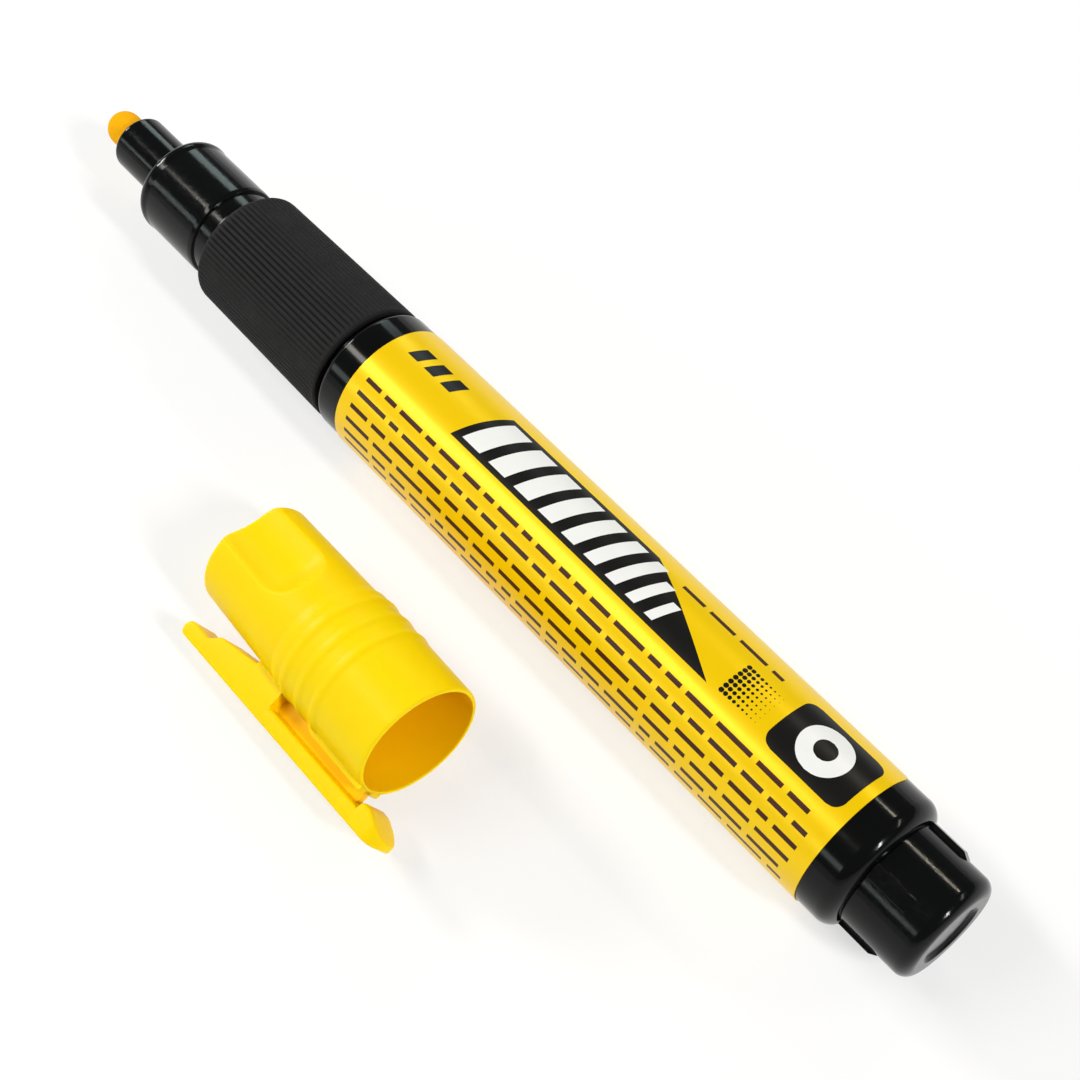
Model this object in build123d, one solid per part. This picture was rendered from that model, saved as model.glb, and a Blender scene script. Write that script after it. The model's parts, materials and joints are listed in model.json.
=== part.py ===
from build123d import *
import math
import os

# Paint marker lying on a table with its cap taken off and laid beside it, in millimetres.
# The marker's axis runs along X, nib towards -X and tail towards +X, with +Z up and the table at Z = 0.
# Stations are counted along the axis from the nib's tip towards the tail.

# Lengths along the marker
nib_reach = 4.9
snout_length = 8.7
collar_length = 10.6
neck_length = 2.8
grip_length = 22.2
ring_gap = 0.6
label_setback = 3.5
label_length = 68.1
barrel_length = 75.7
plug_length = 7.7

# Radii of the marker
nib_radius = 2.1
snout_radius = 3.37
collar_radius = 5.85
neck_radius = 5.5
neck_flare_radius = 6.2
grip_front_radius = 7.05
grip_rear_radius = 7.28
barrel_radius = 7.4
barrel_lip_radius = 6.6
plug_radius = 5.83
plug_spigot_radius = 4.6

# Roundings of the marker
snout_rounding = 0.5
collar_rounding = 1.1
collar_rear_rounding = 0.2
collar_bead_height = 0.1
collar_bead_length = 1.2
collar_bead_ramp = 0.6
neck_flare_length = 0.8
neck_rounding = 0.5
grip_rounding = 0.7
barrel_front_rounding = 0.65
barrel_rear_rounding = 1.7
plug_rounding = 1.3
small_rounding = 0.3

# Walls, fits and clearances
barrel_wall = 0.5
barrel_lip_wall = 0.7
barrel_shoulder_wall = 0.8
grip_wall = 1.0
film_thickness = 0.1
running_gap = 0.08
fit_gap = 0.02
cut_overrun = 1.0

# Valve, in the front section behind the nib
nib_length = 29.0
chamber_gap = 0.4
chamber_radius = 5.2
spigot_length = 9.0
housing_length = 16.0
housing_wall = 0.7
housing_front_wall = 1.0
port_radius = 2.6
seal_thickness = 1.0
stem_rod_radius = 1.9
stem_tail_radius = 1.2
stem_tail_overhang = 0.5
poppet_radius = 3.6
poppet_thickness = 1.6
spring_length = 8.0
spring_radius = 2.3
spring_wire_radius = 0.3
spring_turns = 6
retainer_thickness = 2.0
retainer_hole_radius = 0.8
retainer_hole_circle = 2.9
retainer_hole_count = 4

# Label seam, turned from the top towards the side away from the cap
seam_gap = 1.6
seam_corner_radius = 1.5
seam_clock_deg = 64.0

# Mixing ball, lying on the bottom of the paint tank
ball_radius = 2.5
ball_station = 84.0

# Tail plug
plug_spigot_length = 6.0
plug_wall = 1.2
plug_recess_radius = 3.4
plug_recess_depth = 0.3
rib_height = 0.4
rib_width = 1.6
rib_length = 4.4
rib_ramp = 0.7
rib_count = 4
rib_clock_deg = 30.0

# Cap, counted from its mouth towards its closed end
cap_length = 28.2
cap_band_length = 14.2
cap_band_radius = 6.75
cap_shoulder_length = 1.0
cap_neck_radius = 6.5
cap_end_radius = 6.15
cap_end_rounding = 0.8
cap_bore_radius = 6.28
cap_bore_length = 12.4
cap_bore_taper = 1.6
cap_deep_radius = 3.95
cap_end_wall = 0.65
bead_height = 0.15
bead_width = 1.5
bead_pitch = 2.45
bead_count = 3
bead_first = 7.9

# Thumb scoops at the cap's closed end, one on each side of the clip
scoop_length = 11.2
scoop_depth = 1.6
scoop_radius = 6.5
scoop_end_rounding = 4.0
scoop_clock_deg = 116.0

# Clip, moulded with the cap, with the pad and the ledge under it
clip_width = 4.5
clip_thickness = 1.7
clip_tail = 26.7
clip_tail_radius = 10.4
clip_tip = 5.5
clip_tip_radius = 9.55
clip_tip_taper = 1.9
clip_nose = 0.6
clip_bump_heel = 1.3
clip_bump_length = 1.1
clip_bump_radius = 7.1
clip_bridge_front = 13.0
clip_bridge_length = 4.3
clip_web_tail = 23.4
clip_web_step = 1.0
clip_tip_corner = 2.1
clip_tail_corner = 0.5
clip_tail_rounding = 0.7
clip_tip_rounding = 0.25
pad_radius = 6.95
pad_length = 7.8
pad_ramp = 1.2
pad_width = 4.2
ledge_gap = 0.12
ledge_thickness = 1.6

# Inner cap
liner_length = 12.0
liner_bore_radius = 3.43
liner_bottom = 0.4
liner_mouth_rounding = 0.2

# Where the cap lies: its mouth's station, its distance from the marker's axis and its turn on the table
cap_mouth_station = 88.2
cap_distance = 23.8
cap_yaw_deg = -2.0

# Stations that follow from the lengths
snout_front = nib_reach
collar_front = snout_front + snout_length
collar_rear = collar_front + collar_length
grip_front = collar_rear + neck_length
grip_rear = grip_front + grip_length
barrel_front = grip_rear + ring_gap
barrel_rear = barrel_front + barrel_length
tail_end = barrel_rear + plug_length
label_front = barrel_front + label_setback
spigot_rear = barrel_front + spigot_length
chamber_station = nib_length + chamber_gap
housing_front = chamber_station + fit_gap
seal_front = housing_front + housing_front_wall + fit_gap
seal_rear = seal_front + seal_thickness
poppet_front = seal_rear + running_gap
poppet_rear = poppet_front + poppet_thickness
spring_front = poppet_rear + running_gap
retainer_front = spring_front + spring_length + fit_gap
retainer_rear = retainer_front + retainer_thickness

# Radii that follow
grip_seat_radius = grip_front_radius - grip_wall
tank_radius = barrel_radius - barrel_wall
label_radius = barrel_radius + fit_gap + film_thickness
nib_bore_radius = nib_radius + running_gap
housing_radius = chamber_radius - fit_gap
housing_bore_radius = housing_radius - housing_wall


def turned(*points):
    """Solid turned about the X axis from an outline of (station, radius, rounding) points."""
    outline = make_face(Polyline(*[(x, r) for x, r, _ in points], close=True))
    for x, r, rounding in points:
        if rounding:
            corner = outline.vertices().sort_by_distance(Vector(x, r))[0]
            outline = fillet(corner, rounding)
    return revolve(outline, Axis.X)


def nib():
    """Felt rod with a domed tip."""
    rod = turned(
        (0, 0, 0),
        (nib_radius, nib_radius, 0),
        (nib_length, nib_radius, 0),
        (nib_length, 0, 0),
    )
    return rod + Pos(nib_radius, 0, 0) * Sphere(nib_radius)


def front_section():
    """Moulded nose: snout, beaded collar, neck, grip seat and the spigot that goes into the barrel."""
    spigot_radius = barrel_lip_radius - fit_gap
    bead_radius = collar_radius + collar_bead_height
    bead_rear = collar_front + collar_bead_length
    return turned(
        (snout_front, nib_bore_radius, 0),
        (snout_front, snout_radius, snout_rounding),
        (collar_front, snout_radius, small_rounding),
        (collar_front, bead_radius, collar_rounding),
        (bead_rear, bead_radius, 0),
        (bead_rear + collar_bead_ramp, collar_radius, 0),
        (collar_rear - collar_bead_ramp, collar_radius, 0),
        (collar_rear, collar_radius - collar_bead_height, collar_rear_rounding),
        (collar_rear, neck_radius, 0),
        (grip_front - neck_flare_length, neck_radius, neck_rounding),
        (grip_front, neck_flare_radius, 0),
        (grip_front, grip_seat_radius, 0),
        (grip_rear, grip_seat_radius, 0),
        (grip_rear, spigot_radius, 0),
        (spigot_rear, spigot_radius, small_rounding),
        (spigot_rear, chamber_radius, 0),
        (chamber_station, chamber_radius, 0),
        (chamber_station, nib_bore_radius, 0),
    )


def grip_sleeve():
    """Rubber sleeve over the grip seat, a little thicker towards the barrel."""
    bore = grip_seat_radius + fit_gap
    front = grip_front + fit_gap
    rear = grip_rear - fit_gap
    return turned(
        (front, bore, 0),
        (front, grip_front_radius, grip_rounding),
        (rear, grip_rear_radius, small_rounding),
        (rear, bore, 0),
    )


def valve_housing():
    """Cup pressed into the front section, with the paint port in its front wall."""
    rear = housing_front + housing_length
    inside = housing_front + housing_front_wall
    return turned(
        (housing_front, port_radius, 0),
        (housing_front, housing_radius, small_rounding),
        (rear, housing_radius, 0),
        (rear, housing_bore_radius, 0),
        (inside, housing_bore_radius, 0),
        (inside, port_radius, 0),
    )


def valve_seal():
    """Flat rubber washer on the housing's front wall."""
    outer = housing_bore_radius - fit_gap
    return turned(
        (seal_front, port_radius, 0),
        (seal_front, outer, 0),
        (seal_rear, outer, 0),
        (seal_rear, port_radius, 0),
    )


def valve_stem():
    """Plunger that the nib pushes, with the poppet that closes on the seal and a guided tail."""
    stem_rear = retainer_rear + stem_tail_overhang
    return turned(
        (nib_length, 0, 0),
        (nib_length, stem_rod_radius, 0),
        (poppet_front, stem_rod_radius, 0),
        (poppet_front, poppet_radius, 0),
        (poppet_rear, poppet_radius, small_rounding),
        (poppet_rear, stem_tail_radius, 0),
        (stem_rear, stem_tail_radius, small_rounding),
        (stem_rear, 0, 0),
    )


def valve_spring():
    """Compression spring between the poppet and the retainer, one unbroken wire."""
    rise = spring_length - 2 * spring_wire_radius
    path = Helix(rise / spring_turns, rise, spring_radius)
    wire = sweep(Plane(path @ 0, z_dir=path % 0) * Circle(spring_wire_radius), path, is_frenet=True)
    start = spring_front + spring_wire_radius
    return Pos(start, 0, 0) * Rot(0, 90, 0) * wire


def spring_retainer():
    """Disc that the spring stands on, with a guide hole and holes that let paint through."""
    outer = housing_bore_radius - fit_gap
    guide = stem_tail_radius + running_gap
    disc = turned(
        (retainer_front, guide, 0),
        (retainer_front, outer, 0),
        (retainer_rear, outer, 0),
        (retainer_rear, guide, 0),
    )
    length = retainer_thickness + 2 * cut_overrun
    hole = Pos(retainer_front - cut_overrun, 0, retainer_hole_circle) * Rot(0, 90, 0)
    hole *= Cylinder(retainer_hole_radius, length, align=(Align.CENTER, Align.CENTER, Align.MIN))
    for turn in range(retainer_hole_count):
        disc -= Rot(360 * turn / retainer_hole_count, 0, 0) * hole
    return disc


def barrel_tube():
    """Drawn tube with a rolled front lip and a rear shoulder that holds the plug."""
    inside = barrel_rear - barrel_shoulder_wall
    behind_lip = barrel_front + barrel_lip_wall
    return turned(
        (barrel_front, barrel_lip_radius, 0),
        (barrel_front, barrel_radius, barrel_front_rounding),
        (barrel_rear, barrel_radius, barrel_rear_rounding),
        (barrel_rear, plug_spigot_radius, 0),
        (inside, plug_spigot_radius, 0),
        (inside, tank_radius, barrel_rear_rounding - barrel_wall),
        (behind_lip, tank_radius, 0),
        (behind_lip, barrel_lip_radius, 0),
    )


def seam_cutter():
    """Narrow strip, flared at both ends, that leaves the label's seam with rounded corners."""
    flare_width = seam_gap + 2 * seam_corner_radius
    strip = Rectangle(label_length + 2 * cut_overrun, seam_gap)
    for side in (-1, 1):
        edge = side * label_length / 2
        inner = edge - side * seam_corner_radius
        flare = Pos((edge + inner) / 2, 0) * Rectangle(seam_corner_radius, flare_width)
        for across in (-flare_width / 2, flare_width / 2):
            flare -= Pos(inner, across) * Circle(seam_corner_radius)
        strip += flare
    upright = extrude(strip, label_radius + cut_overrun)
    return Pos(label_front + label_length / 2, 0, 0) * upright


def label_wrap():
    """Printed film round the barrel, not quite meeting itself at the seam."""
    inner = barrel_radius + fit_gap
    rear = label_front + label_length
    film = turned(
        (label_front, inner, 0),
        (label_front, label_radius, 0),
        (rear, label_radius, 0),
        (rear, inner, 0),
    )
    return film - Rot(-seam_clock_deg, 0, 0) * seam_cutter()


def mixing_ball():
    """Steel ball at the bottom of the tank."""
    return Pos(ball_station, 0, ball_radius + running_gap - tank_radius) * Sphere(ball_radius)


def plug_rib():
    """One posting rib on top of the plug, ramped at its rear end."""
    root = plug_radius - rib_height
    crest = plug_radius + rib_height
    rear = barrel_rear + rib_length
    side = Plane.XZ * make_face(
        Polyline(
            (barrel_rear, root),
            (barrel_rear, crest),
            (rear - rib_ramp, crest),
            (rear, plug_radius),
            (rear, root),
            close=True,
        )
    )
    return extrude(side, rib_width / 2, both=True)


def tail_plug():
    """Moulded plug in the barrel's rear shoulder, cored from inside, with ribs that hold the posted cap."""
    spigot = plug_spigot_radius - fit_gap
    inner = barrel_rear - plug_spigot_length
    core = spigot - plug_wall
    floor = tail_end - plug_recess_depth - plug_wall
    seat = barrel_rear + fit_gap
    recess = tail_end - plug_recess_depth
    plug = turned(
        (inner, core, 0),
        (inner, spigot, small_rounding),
        (seat, spigot, 0),
        (seat, plug_radius, 0),
        (tail_end, plug_radius, plug_rounding),
        (tail_end, plug_recess_radius, 0),
        (recess, plug_recess_radius - plug_recess_depth, 0),
        (recess, 0, 0),
        (floor, 0, 0),
        (floor, core, small_rounding),
    )
    for turn in range(rib_count):
        plug += Rot(rib_clock_deg + 360 * turn / rib_count, 0, 0) * Pos(fit_gap, 0, 0) * plug_rib()
    return plug


def cap_bead(distance):
    """Shallow raised ring round the cap at a distance from its mouth."""
    core = cap_band_radius - bead_width
    crest_arc = ThreePointArc(
        (-distance - bead_width / 2, cap_band_radius),
        (-distance, cap_band_radius + bead_height),
        (-distance + bead_width / 2, cap_band_radius),
    )
    base = Polyline(
        (-distance + bead_width / 2, cap_band_radius),
        (-distance + bead_width / 2, core),
        (-distance - bead_width / 2, core),
        (-distance - bead_width / 2, cap_band_radius),
    )
    return revolve(make_face(crest_arc + base), Axis.X)


def cap_body():
    """Outside of the cap, solid: mouth band with beads, shoulder and tapered closed end with its scoops."""
    body = turned(
        (0, 0, 0),
        (0, cap_band_radius, small_rounding),
        (-cap_band_length, cap_band_radius, cap_shoulder_length),
        (-cap_band_length - cap_shoulder_length, cap_neck_radius, cap_shoulder_length),
        (-cap_length, cap_end_radius, cap_end_rounding),
        (-cap_length, 0, 0),
    )
    for index in range(bead_count):
        body += cap_bead(bead_first + index * bead_pitch)
    for side in (-1, 1):
        body -= Rot(side * scoop_clock_deg, 0, 0) * scoop_cutter()
    return body


def scoop_cutter():
    """Rod with a rounded end that cuts one scoop on the clip's side before it is turned round."""
    reach = scoop_length + cut_overrun
    rod = Cylinder(scoop_radius, reach, align=(Align.CENTER, Align.CENTER, Align.MIN))
    rod = fillet(rod.edges().sort_by(Axis.Z)[-1], scoop_end_rounding)
    away = cap_end_radius - scoop_depth + scoop_radius
    return Pos(-cap_length - cut_overrun, -away, 0) * Rot(0, 90, 0) * rod


def clip_outer(distance):
    """Radius of the clip's outer face at a distance from the cap's mouth."""
    run = clip_tail + clip_tip
    return clip_tip_radius + (clip_tail_radius - clip_tip_radius) * (distance + clip_tip) / run


def cap_clip():
    """Clip bar with its gripping bump, its bridge to the cap and the free tail behind the bridge."""
    bridge_rear = clip_bridge_front + clip_bridge_length
    web_rear = clip_web_tail - clip_web_step
    root = cap_deep_radius
    tip_start = clip_tip - clip_tip_taper
    tip_inner = clip_outer(-clip_tip) - clip_nose - clip_nose
    points = [
        (-clip_tail, clip_outer(clip_tail)),
        (tip_start, clip_outer(-tip_start)),
        (clip_tip, clip_outer(-clip_tip) - clip_nose),
        (clip_tip, tip_inner),
        (clip_bump_heel + clip_bump_length, clip_bump_radius),
        (clip_bump_heel, clip_bump_radius),
        (clip_bump_heel, clip_outer(-clip_bump_heel) - clip_thickness),
        (-clip_bridge_front, clip_outer(clip_bridge_front) - clip_thickness),
        (-clip_bridge_front, root),
        (-bridge_rear, root),
        (-bridge_rear, cap_neck_radius),
        (-web_rear, clip_outer(web_rear) - clip_thickness - clip_web_step),
        (-clip_web_tail, clip_outer(clip_web_tail) - clip_thickness),
        (-clip_tail, clip_outer(clip_tail) - clip_thickness),
    ]
    side = make_face(Polyline(*[(x, -r) for x, r in points], close=True))
    rounded = [(points[0], clip_tail_rounding), (points[-1], clip_tail_rounding)]
    rounded += [(points[2], clip_tip_rounding), (points[3], clip_tip_rounding)]
    for (x, r), rounding in rounded:
        side = fillet(side.vertices().sort_by_distance(Vector(x, -r))[0], rounding)
    bar = extrude(side, clip_width / 2, both=True)
    plan = Pos((clip_tip - clip_tail) / 2, 0) * Rectangle(clip_tail + clip_tip, clip_width)
    plan = fillet(plan.vertices().group_by(Axis.X)[-1], clip_tip_corner)
    plan = fillet(plan.vertices().group_by(Axis.X)[0], clip_tail_corner)
    return bar & extrude(Plane.XZ * plan, clip_tail_radius + cut_overrun)


def clip_pad():
    """Low land on the cap under the clip's gap, from the mouth back to a ramp."""
    side = make_face(
        Polyline(
            (0, -cap_bore_radius),
            (0, -pad_radius),
            (-pad_length, -pad_radius),
            (-pad_length - pad_ramp, -cap_bore_radius),
            close=True,
        )
    )
    return extrude(side, pad_width / 2, both=True)


def clip_ledge():
    """Ledge along the middle of the clip's gap, just clear of the clip, from the mouth to the bridge."""
    clearance = clip_thickness + ledge_gap
    side = make_face(
        Polyline(
            (0, -cap_bore_radius),
            (0, clearance - clip_outer(0)),
            (-clip_bridge_front, clearance - clip_outer(clip_bridge_front)),
            (-clip_bridge_front - clip_bridge_length, -cap_bore_radius),
            close=True,
        )
    )
    return extrude(side, ledge_thickness / 2, both=True)


def cap_hollow():
    """Space inside the cap: mouth bore, taper and the deep bore that holds the inner cap."""
    deep = cap_bore_length + cap_bore_taper
    return turned(
        (cut_overrun, 0, 0),
        (cut_overrun, cap_bore_radius, 0),
        (-cap_bore_length, cap_bore_radius, 0),
        (-deep, cap_deep_radius, 0),
        (-cap_length + cap_end_wall, cap_deep_radius, 0),
        (-cap_length + cap_end_wall, 0, 0),
    )


def cap_shell():
    """Cap with its clip, pad and ledge in one moulding, mouth at X = 0 and clip towards -Y."""
    return cap_body() + cap_clip() + clip_pad() + clip_ledge() - cap_hollow()


def cap_liner():
    """Inner cap that closes round the snout, seated on the cap's end wall."""
    outer = cap_deep_radius - fit_gap
    end = -cap_length + cap_end_wall + fit_gap
    mouth = end + liner_length
    return turned(
        (end, 0, 0),
        (end, outer, 0),
        (mouth, outer, 0),
        (mouth, liner_bore_radius, liner_mouth_rounding),
        (end + liner_bottom, liner_bore_radius, 0),
        (end + liner_bottom, 0, 0),
    )


def laid_cap(shapes):
    """Cap pieces as they lie: on the band's rear edge, the closed end and the clip's tail."""
    tilt = math.atan2(cap_band_radius - cap_end_radius, cap_length - cap_band_length)
    floor_at_tail = cap_band_radius - (clip_tail - cap_band_length) * math.tan(tilt)
    corner = math.hypot(clip_tail_radius, clip_width / 2)
    corner_turn = math.atan2(clip_width / 2, clip_tail_radius)
    roll = math.asin(floor_at_tail / corner) - corner_turn
    turn = Rot(0, 0, cap_yaw_deg) * Rot(0, -math.degrees(tilt), 0) * Rot(math.degrees(roll), 0, 0)
    turned_over = {name: turn * shape for name, shape in shapes.items()}
    lowest = Compound(list(turned_over.values())).bounding_box().min.Z
    move = Pos(cap_mouth_station, -cap_distance, -lowest)
    return {name: move * shape for name, shape in turned_over.items()}


marker = {
    "nib": nib(),
    "front_section": front_section(),
    "grip_sleeve": grip_sleeve(),
    "valve_housing": valve_housing(),
    "valve_seal": valve_seal(),
    "valve_stem": valve_stem(),
    "valve_spring": valve_spring(),
    "spring_retainer": spring_retainer(),
    "barrel_tube": barrel_tube(),
    "label_wrap": label_wrap(),
    "mixing_ball": mixing_ball(),
    "tail_plug": tail_plug(),
}
pieces = {name: Pos(0, 0, label_radius) * shape for name, shape in marker.items()}
pieces.update(laid_cap({"cap_shell": cap_shell(), "cap_liner": cap_liner()}))

# The origin is on the table under the middle of everything
box = Compound(list(pieces.values())).bounding_box()
to_origin = Pos(-box.center().X, -box.center().Y, -box.min.Z)

os.makedirs("parts", exist_ok=True)
for name, shape in pieces.items():
    export_step(to_origin * shape, f"parts/{name}.step")
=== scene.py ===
"""Dresses a cap-off paint marker: felt nib, moulded nose, ribbed grip, wrapped barrel, plug and clip cap.

Sizes are in millimetres and angles in radians, unless a name or a description says otherwise.
"""

from __future__ import annotations

import json
import logging
import math
import random
from collections.abc import Callable, Iterable, Sequence
from dataclasses import dataclass, field
from enum import Enum

import bpy
from mathutils import Matrix, Vector

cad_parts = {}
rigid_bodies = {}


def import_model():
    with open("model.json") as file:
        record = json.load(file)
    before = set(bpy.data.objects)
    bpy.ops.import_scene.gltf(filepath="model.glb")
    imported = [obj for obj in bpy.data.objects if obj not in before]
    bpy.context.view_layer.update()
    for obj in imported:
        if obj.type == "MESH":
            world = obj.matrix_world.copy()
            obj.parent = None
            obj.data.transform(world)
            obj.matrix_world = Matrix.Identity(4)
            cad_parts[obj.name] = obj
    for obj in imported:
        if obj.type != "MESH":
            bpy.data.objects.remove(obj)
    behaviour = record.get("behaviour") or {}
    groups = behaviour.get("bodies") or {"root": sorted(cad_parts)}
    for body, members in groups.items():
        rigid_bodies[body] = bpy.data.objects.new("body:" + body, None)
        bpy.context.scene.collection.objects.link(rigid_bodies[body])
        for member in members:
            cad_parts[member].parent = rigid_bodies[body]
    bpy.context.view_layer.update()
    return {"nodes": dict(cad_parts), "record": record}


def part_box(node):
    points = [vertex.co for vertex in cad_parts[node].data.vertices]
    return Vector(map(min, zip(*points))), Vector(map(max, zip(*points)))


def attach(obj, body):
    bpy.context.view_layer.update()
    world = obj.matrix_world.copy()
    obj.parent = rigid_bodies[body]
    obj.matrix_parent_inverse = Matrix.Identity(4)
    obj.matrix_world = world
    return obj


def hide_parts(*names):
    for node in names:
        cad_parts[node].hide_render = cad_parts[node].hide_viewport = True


LOG = logging.getLogger("marker")
MM = 0.001
QUARTER = math.pi / 2

Point = tuple[float, float]
Triple = tuple[float, float, float]
Solids = dict[str, bpy.types.Object]

# Faces that meet at more than this angle keep a sharp edge
SHARP_DEG = 38
# Points of a turned piece that agree to this many decimals are one point
WELD_DIGITS = 5
# Octaves of a finish's mottling, of its gloss patches and of its relief
MOTTLE_DETAIL, PATCH_DETAIL, GRAIN_DETAIL = 4.0, 3.0, 2.0
# Rays that soften a moulded edge
EDGE_SAMPLES = 6
# Colour sockets of a Mix node, which share their names with its other kinds of socket
MIX_A, MIX_B, MIX_RESULT = 6, 7, 2
# Largest share of a bar's half side that its corner radius takes
CORNER_SHARE = 0.9


class Body(Enum):
    """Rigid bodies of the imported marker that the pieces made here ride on."""

    BARREL = "barrel"
    NIB = "nib_unit"
    CAP = "cap"


class Slot(Enum):
    """Material slots of the record, one for each kind of piece made here."""

    FELT = "felt"
    GRIP = "grip_rubber"
    FILM = "label_film"
    CAP = "yellow_moulding"


def linear(hex_colour: str) -> tuple[float, float, float, float]:
    """Turns an sRGB hex colour into linear RGBA.

    Args:
        hex_colour: Colour such as "#F2B705".

    Returns:
        Linear red, green, blue and an alpha of 1.
    """
    parts = [int(hex_colour[i : i + 2], 16) / 255 for i in (1, 3, 5)]
    lin = [c / 12.92 if c <= 0.04045 else ((c + 0.055) / 1.055) ** 2.4 for c in parts]
    return (lin[0], lin[1], lin[2], 1.0)


def per_metre(size_mm: float) -> float:
    """Scale of a texture whose features are size_mm wide, for coordinates in metres."""
    return 1.0 / (size_mm * MM)


def add(
    tree: bpy.types.NodeTree,
    kind: str,
    settings: dict[str, object] | None = None,
    inputs: dict[str | int, object] | None = None,
) -> bpy.types.Node:
    """Adds a node with its settings and its links.

    Args:
        tree: Node tree that the node goes into.
        kind: Blender's node type.
        settings: Node attributes to set.
        inputs: Socket name or index to a value, or to the output socket that feeds it.

    Returns:
        The new node.
    """
    node = tree.nodes.new(kind)
    for name, value in (settings or {}).items():
        setattr(node, name, value)
    for key, value in (inputs or {}).items():
        if isinstance(value, bpy.types.NodeSocket):
            tree.links.new(value, node.inputs[key])
        else:
            node.inputs[key].default_value = value
    return node


@dataclass(frozen=True)
class Finish:
    """A surface as it was made: base colours, gloss and the fine relief that it shows.

    Attributes:
        name: Material name, for the real material and its process.
        light: Lighter base colour, sRGB hex.
        dark: Darker base colour that it is mottled with.
        mottle_mm: Size of the mottling.
        roughness: Lowest and highest roughness, spread by the same kind of noise.
        rough_mm: Size of the roughness patches.
        grain_mm: Size of the fine relief.
        grain_depth_mm: Height of the fine relief.
        stretch: How many times longer the patterns run along X than across.
        ior: Index of refraction.
        specular: How strongly it mirrors, 0.5 for a smooth surface and less for a fibrous or dusty one.
        metallic: 1 for bare metal, 0 for the rest.
        subsurface: Share of light that goes into the material and comes out again.
        subsurface_mm: How far it goes, for red, green and blue.
        edge_mm: Radius to which sharp moulded edges look rounded, or 0.
    """

    name: str
    light: str
    dark: str
    mottle_mm: float
    roughness: Point
    rough_mm: float
    grain_mm: float
    grain_depth_mm: float
    stretch: float = 1.0
    ior: float = 1.5
    specular: float = 0.5
    metallic: float = 0.0
    subsurface: float = 0.0
    subsurface_mm: Triple = (1.0, 0.6, 0.1)
    edge_mm: float = 0.0

    def material(self) -> bpy.types.Material:
        """Makes the material once and gives the same one after that.

        Returns:
            Node material of this finish.
        """
        known = bpy.data.materials.get(self.name)
        if known:
            return known
        made = bpy.data.materials.new(self.name)
        made.use_nodes = True
        made.node_tree.nodes.clear()
        self._shade(made.node_tree)
        return made

    def _shade(self, tree: bpy.types.NodeTree) -> None:
        """Builds the nodes: mottled colour, patchy gloss and fine relief.

        Args:
            tree: Empty node tree of the material.
        """
        place = add(tree, "ShaderNodeTexCoord").outputs["Object"]
        run = add(tree, "ShaderNodeMapping", None, {"Vector": place, "Scale": (1 / self.stretch, 1, 1)})
        sizes = (
            (self.mottle_mm, MOTTLE_DETAIL),
            (self.rough_mm, PATCH_DETAIL),
            (self.grain_mm, GRAIN_DETAIL),
        )
        mottle, patches, grain = (
            add(
                tree,
                "ShaderNodeTexNoise",
                None,
                {"Vector": run.outputs[0], "Scale": per_metre(size), "Detail": detail},
            ).outputs["Fac"]
            for size, detail in sizes
        )
        colour = add(
            tree,
            "ShaderNodeMix",
            {"data_type": "RGBA"},
            {"Factor": mottle, MIX_A: linear(self.dark), MIX_B: linear(self.light)},
        )
        low, high = self.roughness
        gloss = add(tree, "ShaderNodeMapRange", None, {"Value": patches, "To Min": low, "To Max": high})
        relief_inputs: dict[str | int, object] = {
            "Height": grain,
            "Strength": 1.0,
            "Distance": self.grain_depth_mm * MM,
        }
        if self.edge_mm:
            soft = add(tree, "ShaderNodeBevel", {"samples": EDGE_SAMPLES}, {"Radius": self.edge_mm * MM})
            relief_inputs["Normal"] = soft.outputs[0]
        relief = add(tree, "ShaderNodeBump", None, relief_inputs)
        shader = add(
            tree,
            "ShaderNodeBsdfPrincipled",
            None,
            {
                "Base Color": colour.outputs[MIX_RESULT],
                "Roughness": gloss.outputs[0],
                "Normal": relief.outputs[0],
                "IOR": self.ior,
                "Specular IOR Level": self.specular,
                "Metallic": self.metallic,
                "Subsurface Weight": self.subsurface,
                "Subsurface Radius": tuple(d * MM for d in self.subsurface_mm),
                "Subsurface Scale": 1.0,
            },
        )
        add(tree, "ShaderNodeOutputMaterial", None, {"Surface": shader.outputs[0]})


# Felt fibres, rubber dust and the lines on drawn wire are 0.01 to 0.03 mm wide. They are drawn several times
# coarser than that here, so that they show.

# Bonded polyester fibre soaked with paint: no gloss at all, and short fibres that run along the rod
FELT = Finish(
    "felt_bonded_soaked", "#F9B404", "#F1A603", mottle_mm=0.35, roughness=(0.85, 0.95), rough_mm=1.0,
    grain_mm=0.16, grain_depth_mm=0.03, stretch=3.0, specular=0.1,
)
# Black ABS from a polished mould: deep gloss, a little mottled where it is handled
BLACK_MOULDING = Finish(
    "abs_black_moulded", "#0C0D0E", "#060707", mottle_mm=6.0, roughness=(0.03, 0.24), rough_mm=0.4,
    grain_mm=0.25, grain_depth_mm=0.006, stretch=1.6, specular=0.18, edge_mm=0.15,
)
# Drawn aluminium under black lacquer: mirror-like, with the slow waves of a dipped coat
BLACK_LACQUER = Finish(
    "aluminium_black_lacquered", "#0B0C0C", "#050606", mottle_mm=9.0, roughness=(0.08, 0.16), rough_mm=3.0,
    grain_mm=2.0, grain_depth_mm=0.003, specular=0.18, edge_mm=0.1,
)
# Moulded rubber: charcoal, quite matte, with a fine dusty grain
GRIP_RUBBER = Finish(
    "rubber_charcoal_moulded", "#1D1D1D", "#151516", mottle_mm=1.5, roughness=(0.55, 0.72), rough_mm=2.0,
    grain_mm=0.12, grain_depth_mm=0.008, specular=0.15,
)
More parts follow.
